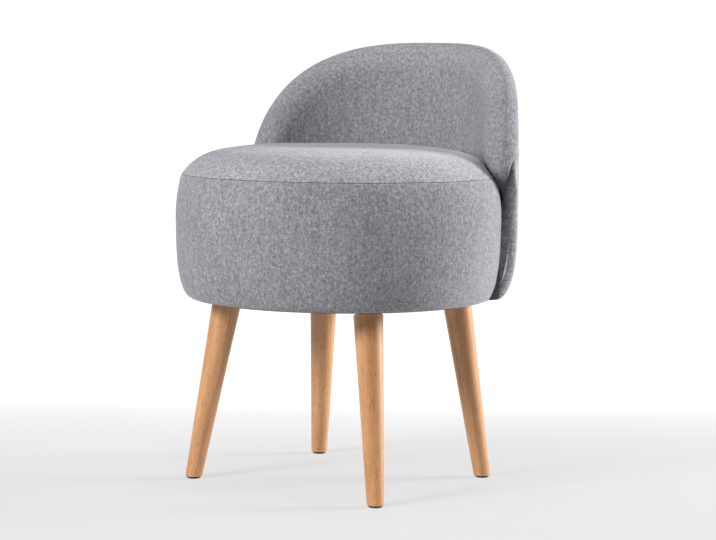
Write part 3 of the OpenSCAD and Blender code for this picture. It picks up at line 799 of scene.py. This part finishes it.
def cushion_line(form, s):
    """One column of the cushion, from its foot over the rim to the seam, and back inside."""
    inner, upper, _ = back_sections(form, s)
    seam, tuck = upper[-1], max(form.base_at(upper[-1][1]) + 0.2, upper[-1][0] - TUCK)
    low_r = max(inner[0][0], form.base_at(inner[0][1])) + 0.2
    close = near_seam(form, abs(s), upper)
    return (spread(inner + upper[:-close], 80) + spread(upper[-close - 1:], 17)[1:] + [(tuck, seam[1])]
            + spread([(tuck, seam[1]), (low_r, inner[0][1])], 5)[1:] + [inner[0]])


def panel_line(form, s):
    """One column of the rear panel, from the seam to its foot, and back inside."""
    _, _, lower = back_sections(form, s)
    first, last = lower[0], lower[-1]
    tuck = max(form.base_at(first[1]) + 0.1, first[0] - TUCK)
    close = near_seam(form, abs(s), lower)
    wall = [(form.base_at(z) + 0.1, z) for z in np.linspace(last[1], first[1] - 1, 9)]
    return ([(tuck, first[1])] + spread(lower[:close + 1], 18) + spread(lower[close:], 46)[1:]
            + wall + [(tuck, first[1])])


def stuffing_line(form, s):
    """One column of the whole back."""
    inner, upper, lower = back_sections(form, s)
    wall = [(form.base_at(z), z) for z in np.linspace(lower[-1][1], inner[0][1], 12)]
    line = spread(inner, 24) + spread(upper, 12) + spread(lower, 20) + wall
    return line[:-1] + line[:1]


def back_body(form, line_at, count=BACK_COLUMNS, reach=1.0):
    """Closed body of the back, from the (radius, height) line of each of its columns."""
    rings = []
    for i in range(count):
        s = column_at(i, count) * reach
        rings.append([form.place(r, s, z) for r, z in line_at(form, s)])
    return lofted(rings)


def axis_radius(form, co):
    """Distance from the drum's axis, in millimetres."""
    return math.hypot(co.x, co.y - form.axis_y * MM) / MM


def drum_swell(form):
    """Swell of the stuffed drum, pinned at its seam and underside."""
    if "drum" in SWELLS:
        return SWELLS["drum"]
    crown = seat_profile(form)[5:]
    side = side_profile(form)[3:-8]
    line = [(0, form.floor + 1)] + list(reversed(side)) + crown
    bm = turned(line, 120, form)

    def pinned(co):
        z = co.z / MM
        at_seam = near(z - form.seam, 7) if axis_radius(form, co) > form.seam_r - 14 else 0
        return 1 if z < form.floor + 9 else min(1, at_seam * 1.5)

    SWELLS["drum"] = stuffed(bm, "drum_stuffing", pinned)
    return SWELLS["drum"]


def back_swell(form):
    """Swell of the stuffed back, pinned at its seam, its foot and where it lies on the drum."""
    if "back" in SWELLS:
        return SWELLS["back"]
    bm = back_body(form, stuffing_line, count=60, reach=0.995)

    def pinned(co):
        z, r = co.z / MM, axis_radius(form, co)
        if r < form.base_at(z) + 2 and z < form.top:
            return 1
        off_seam = z - form.panel_at(form.share_at(co))
        return min(1, 1.6 * near(off_seam, SEAM_HOLD)) if r > form.drum_r + 8 else 0

    SWELLS["back"] = stuffed(bm, "back_stuffing", pinned)
    return SWELLS["back"]


def mean_swell(swell, places):
    """Average length of the swell over every ninth of some places."""
    some = places[::9]
    return sum(swell(co).length for co in some) / max(1, len(some))


def finish_piece(piece, node_names):
    """Smooths a padded piece, hangs it under the root body and hides the frame nodes that it stands in for.
    """
    soft = piece.modifiers.new("soft", "SUBSURF")
    soft.levels = soft.render_levels = 1
    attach(piece, "root")
    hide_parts(*node_names)


class STOOL_OT_seat_cushion(bpy.types.Operator):
    """Makes the domed seat cushion, sewn to the side band along one seam"""

    bl_idname = "stool.seat_cushion"
    bl_label = "Seat Cushion"

    def execute(self, context):
        form = Form(context.scene.stool_sizes)
        # Painted light: the seat's cloth is painted 6 % lighter than the plain cloth
        cloth = melange("cloth_seat_painted_lighter", context.scene.stool_cloth, painted_light=1.06)
        piece = new_piece("seat_cushion", turned(seat_profile(form), TURN_STEPS, form), cloth)
        swell = drum_swell(form)

        def shift(co, normal):
            above = co.z / MM - form.seam
            if above < 0.5:
                return Vector()
            free = smooth(above / SEAM_HOLD)
            move = normal * max(0, swell(co).dot(normal)) * SEAT_SWELL * free
            move += normal * puckers(form, co, above, pitch=17, seed=3.1) * 2
            return move + normal * ripple(co, pitch=75, seed=8.4) * 0.7 * MM * free

        press(piece, shift)
        lay_weave(piece, over_seat)
        finish_piece(piece, ("seat_top_cover", "seat_wadding", "seat_foam"))
        return {"FINISHED"}


class STOOL_OT_side_band(bpy.types.Operator):
    """Makes the padded band round the drum, turned under at its foot"""

    bl_idname = "stool.side_band"
    bl_label = "Side Band"

    def execute(self, context):
        form = Form(context.scene.stool_sizes)
        # Painted shade: the side band's cloth is painted 10 % darker than the plain cloth
        cloth = melange("cloth_side_painted_darker", context.scene.stool_cloth, painted_light=0.90)
        piece = new_piece("side_band", turned(side_profile(form), TURN_STEPS, form), cloth)
        swell = drum_swell(form)
        outside = [v.co for v in piece.data.vertices
                   if form.corner < v.co.z / MM < form.seam - 10 and axis_radius(form, v.co) > form.seam_r]
        mean = mean_swell(swell, outside)

        def shift(co, normal):
            z, r = co.z / MM, axis_radius(form, co)
            if r < form.drum_at(z) - 8 or z < form.floor + 3:
                return Vector()
            free = smooth((form.seam - z) / SEAM_HOLD) * smooth((z - form.floor) / EDGE_HOLD)
            move = normal * ((swell(co).dot(normal) - mean) * SIDE_SWELL + form.plump * MM) * free
            move += normal * puckers(form, co, form.seam - z, pitch=15, seed=5.7) * 2
            # The corner sags a little towards the rear
            rear, low, outer = co.y / (90 * MM), (form.floor + 45 - z) / 35, (r - form.drum_r + 30) / 12
            move.z -= 2.6 * MM * smooth(rear) * smooth(low) * smooth(outer)
            return move + normal * ripple(co, pitch=70, seed=1.9) * 0.8 * MM * free

        press(piece, shift)
        lay_weave(piece, around(form))
        finish_piece(piece, ("seat_side_cover", "side_foam"))
        return {"FINISHED"}


class STOOL_OT_back_cushion(bpy.types.Operator):
    """Makes the cushion of the back, which rolls over the rim down to the curved seam"""

    bl_idname = "stool.back_cushion"
    bl_label = "Back Cushion"

    def execute(self, context):
        form = Form(context.scene.stool_sizes)
        # Painted shade: the back cushion's cloth is painted 12 % darker than the plain cloth
        cloth = melange("cloth_back_painted_darker", context.scene.stool_cloth, painted_light=0.88)
        piece = new_piece("back_cushion", back_body(form, cushion_line), cloth)
        shape_back(piece, form)
        finish_piece(piece, ("back_cushion_cover", "back_cushion_foam"))
        return {"FINISHED"}


class STOOL_OT_rear_panel(bpy.types.Operator):
    """Makes the rear panel, from the curved seam down to the foot of the back"""

    bl_idname = "stool.rear_panel"
    bl_label = "Rear Panel"

    def execute(self, context):
        form = Form(context.scene.stool_sizes)
        # Painted light: the rear panel's cloth is painted 10 % lighter than the plain cloth
        cloth = melange("cloth_panel_painted_lighter", context.scene.stool_cloth, painted_light=1.10)
        piece = new_piece("rear_panel", back_body(form, panel_line), cloth)
        shape_back(piece, form)
        finish_piece(piece, ("back_outer_panel", "back_outer_foam"))
        return {"FINISHED"}


def shape_back(piece, form):
    """Gives a piece of the back its swell, its ripples along the seam, its weave and its painted shade."""
    swell = back_swell(form)
    mean = mean_swell(swell, [v.co for v in piece.data.vertices if v.co.z > (form.seam + 30) * MM])

    def shift(co, normal):
        z, r = co.z / MM, axis_radius(form, co)
        q = form.share_at(co)
        if r < form.base_at(z) + 1.2:
            return Vector()
        free = smooth((1 - q) * 12)
        if r < form.drum_r:
            free *= smooth((z - form.seam - 8) / EDGE_HOLD)
        off_seam = z - form.panel_at(q)
        if r > form.drum_r:
            free *= smooth(abs(off_seam) / SEAM_HOLD) * smooth((z - form.back_foot) / EDGE_HOLD)
        move = normal * ((swell(co).dot(normal) - mean) * BACK_SWELL + form.plump * MM) * free
        if r > form.drum_r:
            height = puckers(form, co, abs(off_seam), pitch=15, seed=9.2) * 1.5
            move += normal * height * smooth((1 - q) * 9)
        return move + normal * ripple(co, pitch=80, seed=4.4) * 0.9 * MM * free

    press(piece, shift)
    lay_weave(piece, over_back(form))
    # Painted shade along the seam, at the back's ends and against the seat
    lay_painted_shade(piece, form.painted_shade_at)


class STOOL_OT_underside(bpy.types.Operator):
    """Finishes the dust cover and drives the staples that hold it and the hem"""

    bl_idname = "stool.underside"
    bl_label = "Underside"

    def execute(self, context):
        form = Form(context.scene.stool_sizes)
        give(["dust_cover"], plain_finish(
            "dust_cloth", ((0.012, 0.012, 0.014), (0.03, 0.03, 0.034)), 0.95, (700, 700, 700)))
        low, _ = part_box("dust_cover")
        bm = bmesh.new()
        count, ring = 40, (form.corner_r - form.corner_in - 9) * MM
        thick, long, tall = 0.0011, 0.011, 0.0006
        centre = Matrix.Translation((0, form.axis_y * MM, 0))
        out = Matrix.Translation((ring, 0, low.z - tall / 2)) @ Matrix.Diagonal((thick, long, tall, 1))
        for i in range(count):
            turn = Matrix.Rotation(math.tau * (i + 0.5) / count, 4, "Z")
            bmesh.ops.create_cube(bm, size=1, matrix=centre @ turn @ out)
        bmesh.ops.bevel(
            bm, geom=bm.edges[:], offset=0.2 * MM, affect="EDGES", segments=1, profile=0.5, material=-1)
        piece = new_piece("staples", bm, plain_finish(
            "staple_wire", ((0.55, 0.55, 0.57), (0.75, 0.75, 0.77)), 0.35, (300, 300, 300), metallic=1.0))
        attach(piece, "root")
        return {"FINISHED"}


LEGS = ("front_left", "front_right", "rear_left", "rear_right")
# Radius of a leg at its top and at its foot together, in metres
LEG_ENDS = 0.0294


class STOOL_OT_legs(bpy.types.Operator):
    """Finishes the four legs in satin beech, with the grain along each, and their glides"""

    bl_idname = "stool.legs"
    bl_label = "Legs"

    def execute(self, context):
        wood = context.scene.stool_wood
        for name in LEGS:
            low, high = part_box(f"leg_{name}")
            across = 1 if low.x + high.x > 0 else -1
            along = 1 if low.y + high.y > 0 else -1
            # The foot stands further out than the top by the width of the box less its two ends
            run_x = (high.x - low.x) - LEG_ENDS
            run_y = (high.y - low.y) - LEG_ENDS
            axis = Vector((-across * run_x, -along * run_y, high.z - low.z)).normalized()
            turn = axis.rotation_difference(Vector((0, 0, 1))).to_euler("XYZ")
            give([f"leg_{name}"], beech(f"beech_{name}", wood, tuple(turn)))
        give([f"glide_{name}" for name in LEGS], plain_finish(
            "glide_plastic", ((0.018, 0.017, 0.016), (0.035, 0.033, 0.03)), 0.5, (400, 400, 400)))
        return {"FINISHED"}


class STOOL_OT_frame(bpy.types.Operator):
    """Finishes the boards, posts, plates and fasteners of the frame"""

    bl_idname = "stool.frame"
    bl_label = "Frame"

    def execute(self, context):
        give(["seat_board", "base_board", "back_board"], plywood("birch_plywood"))
        give(["drum_skin"], plain_finish(
            "hardboard", ((0.13, 0.07, 0.035), (0.2, 0.115, 0.06)), 0.7, (500, 500, 500)))
        give(["frame_posts"], plain_finish(
            "softwood", ((0.52, 0.36, 0.19), (0.68, 0.5, 0.29)), 0.65, (120, 120, 7)))
        zinc = plain_finish(
            "bright_zinc", ((0.52, 0.53, 0.55), (0.72, 0.73, 0.75)), 0.32, (60, 60, 60), metallic=1.0)
        give([f"leg_plate_{name}" for name in LEGS], zinc)
        give(["frame_screws", "plate_screws", "hanger_bolts", "back_bolts", "back_washers", "back_nuts"],
             zinc)
        return {"FINISHED"}


# Floor, in metres: half its width, its near edge, its flat depth, its bend up and its wall
FLOOR_HALF, FLOOR_NEAR, FLOOR_DEPTH, FLOOR_BEND, FLOOR_WALL = 40, -8, 20, 5, 6
FLOOR_STEPS = 12


def drawn_out(bm, line, step):
    """Draws a line of vertices out by a step into a strip of floor, and returns its far line."""
    edges = [e for e in bm.edges if all(v in line for v in e.verts)]
    out = bmesh.ops.extrude_edge_only(bm, edges=edges)["geom"]
    far = [v for v in out if isinstance(v, bmesh.types.BMVert)]
    bmesh.ops.translate(bm, verts=far, vec=step)
    return far


class STOOL_OT_stage(bpy.types.Operator):
    """Sets the pale floor, the soft light and the camera"""

    bl_idname = "stool.stage"
    bl_label = "Stage"

    def execute(self, context):
        bm = bmesh.new()
        line = [bm.verts.new((x, FLOOR_NEAR, 0)) for x in (-FLOOR_HALF, FLOOR_HALF)]
        bm.edges.new(line)
        line = drawn_out(bm, line, (0, FLOOR_DEPTH, 0))
        for i in range(FLOOR_STEPS):
            a, b = QUARTER * i / FLOOR_STEPS, QUARTER * (i + 1) / FLOOR_STEPS
            step = Vector((0, math.sin(b) - math.sin(a), math.cos(a) - math.cos(b))) * FLOOR_BEND
            line = drawn_out(bm, line, step)
        drawn_out(bm, line, (0, 0, FLOOR_WALL))
        floor = new_piece("floor", bm, floor_finish())

        world = bpy.data.worlds.new("soft_room")
        context.scene.world = world
        world.use_nodes = True
        sky = world.node_tree.nodes["Background"]
        sky.inputs["Color"].default_value = (0.96, 0.98, 1.0, 1)
        sky.inputs["Strength"].default_value = 0.03

        # Name, place and width in metres, and power in watts
        lamps = (
            ("left", (-0.75, -3.2, 1.95), 1.2, 158),
            ("right", (2.1, 2.3, 1.15), 1.2, 180),
            ("top", (0.2, -0.2, 3.2), 2.0, 50),
        )
        aim = Vector((0, 0, 0.35))
        for name, place, size, power in lamps:
            data = bpy.data.lights.new(name, "AREA")
            data.shape, data.size, data.energy = "DISK", size, power
            lamp = bpy.data.objects.new(name, data)
            lamp.location = place
            lamp.rotation_mode = "QUATERNION"
            lamp.rotation_quaternion = (aim - Vector(place)).to_track_quat("-Z", "Y")
            context.scene.collection.objects.link(lamp)

        data = bpy.data.cameras.new("camera")
        data.sensor_width = 36
        data.lens = VIEW_FOCUS * data.sensor_width / VIEW_WIDTH
        data.clip_start, data.clip_end = 0.05, 50
        camera = bpy.data.objects.new("camera", data)
        right = Vector((math.cos(VIEW_TURN), math.sin(VIEW_TURN), 0))
        level = Vector((-math.sin(VIEW_TURN), math.cos(VIEW_TURN), 0))
        ahead = level * math.cos(VIEW_PITCH) - Vector((0, 0, math.sin(VIEW_PITCH)))
        up = right.cross(ahead)
        place = Vector(VIEW_CENTRE) - level * VIEW_BACK + right * VIEW_RIGHT
        across = right * math.cos(VIEW_TILT) + up * math.sin(VIEW_TILT)
        over_it = up * math.cos(VIEW_TILT) - right * math.sin(VIEW_TILT)
        axes = Matrix((across, over_it, -ahead)).transposed().to_4x4()
        camera.matrix_world = Matrix.Translation(place) @ axes
        context.scene.collection.objects.link(camera)
        context.scene.camera = camera
        context.scene.view_settings.view_transform = "Standard"
        return {"FINISHED"}


class STOOL_PT_panel(bpy.types.Panel):
    """Sizes, finishes and steps of the drum stool"""

    bl_idname = "STOOL_PT_panel"
    bl_label = "Drum Stool"
    bl_space_type = "VIEW_3D"
    bl_region_type = "UI"
    bl_category = "Stool"

    def draw(self, context):
        for group in ("stool_sizes", "stool_cloth", "stool_wood"):
            box = self.layout.box()
            settings = getattr(context.scene, group)
            for name in settings.bl_rna.properties.keys():
                if name not in ("rna_type", "name"):
                    box.prop(settings, name)
        for step in STEPS:
            self.layout.operator(step.bl_idname)


GROUPS = {"stool_sizes": StoolSizes, "stool_cloth": StoolCloth, "stool_wood": StoolWood}
STEPS = (STOOL_OT_seat_cushion, STOOL_OT_side_band, STOOL_OT_back_cushion, STOOL_OT_rear_panel,
         STOOL_OT_underside, STOOL_OT_legs, STOOL_OT_frame, STOOL_OT_stage)


def register():
    for cls in (*GROUPS.values(), *STEPS, STOOL_PT_panel):
        bpy.utils.register_class(cls)
    for name, cls in GROUPS.items():
        setattr(bpy.types.Scene, name, bpy.props.PointerProperty(type=cls))


def unregister():
    for name in GROUPS:
        delattr(bpy.types.Scene, name)
    for cls in (STOOL_PT_panel, *reversed(STEPS), *GROUPS.values()):
        bpy.utils.unregister_class(cls)


def main():
    register()
    for step in STEPS:
        group, name = step.bl_idname.split(".")
        getattr(getattr(bpy.ops, group), name)()


if __name__ == "__main__":
    main()
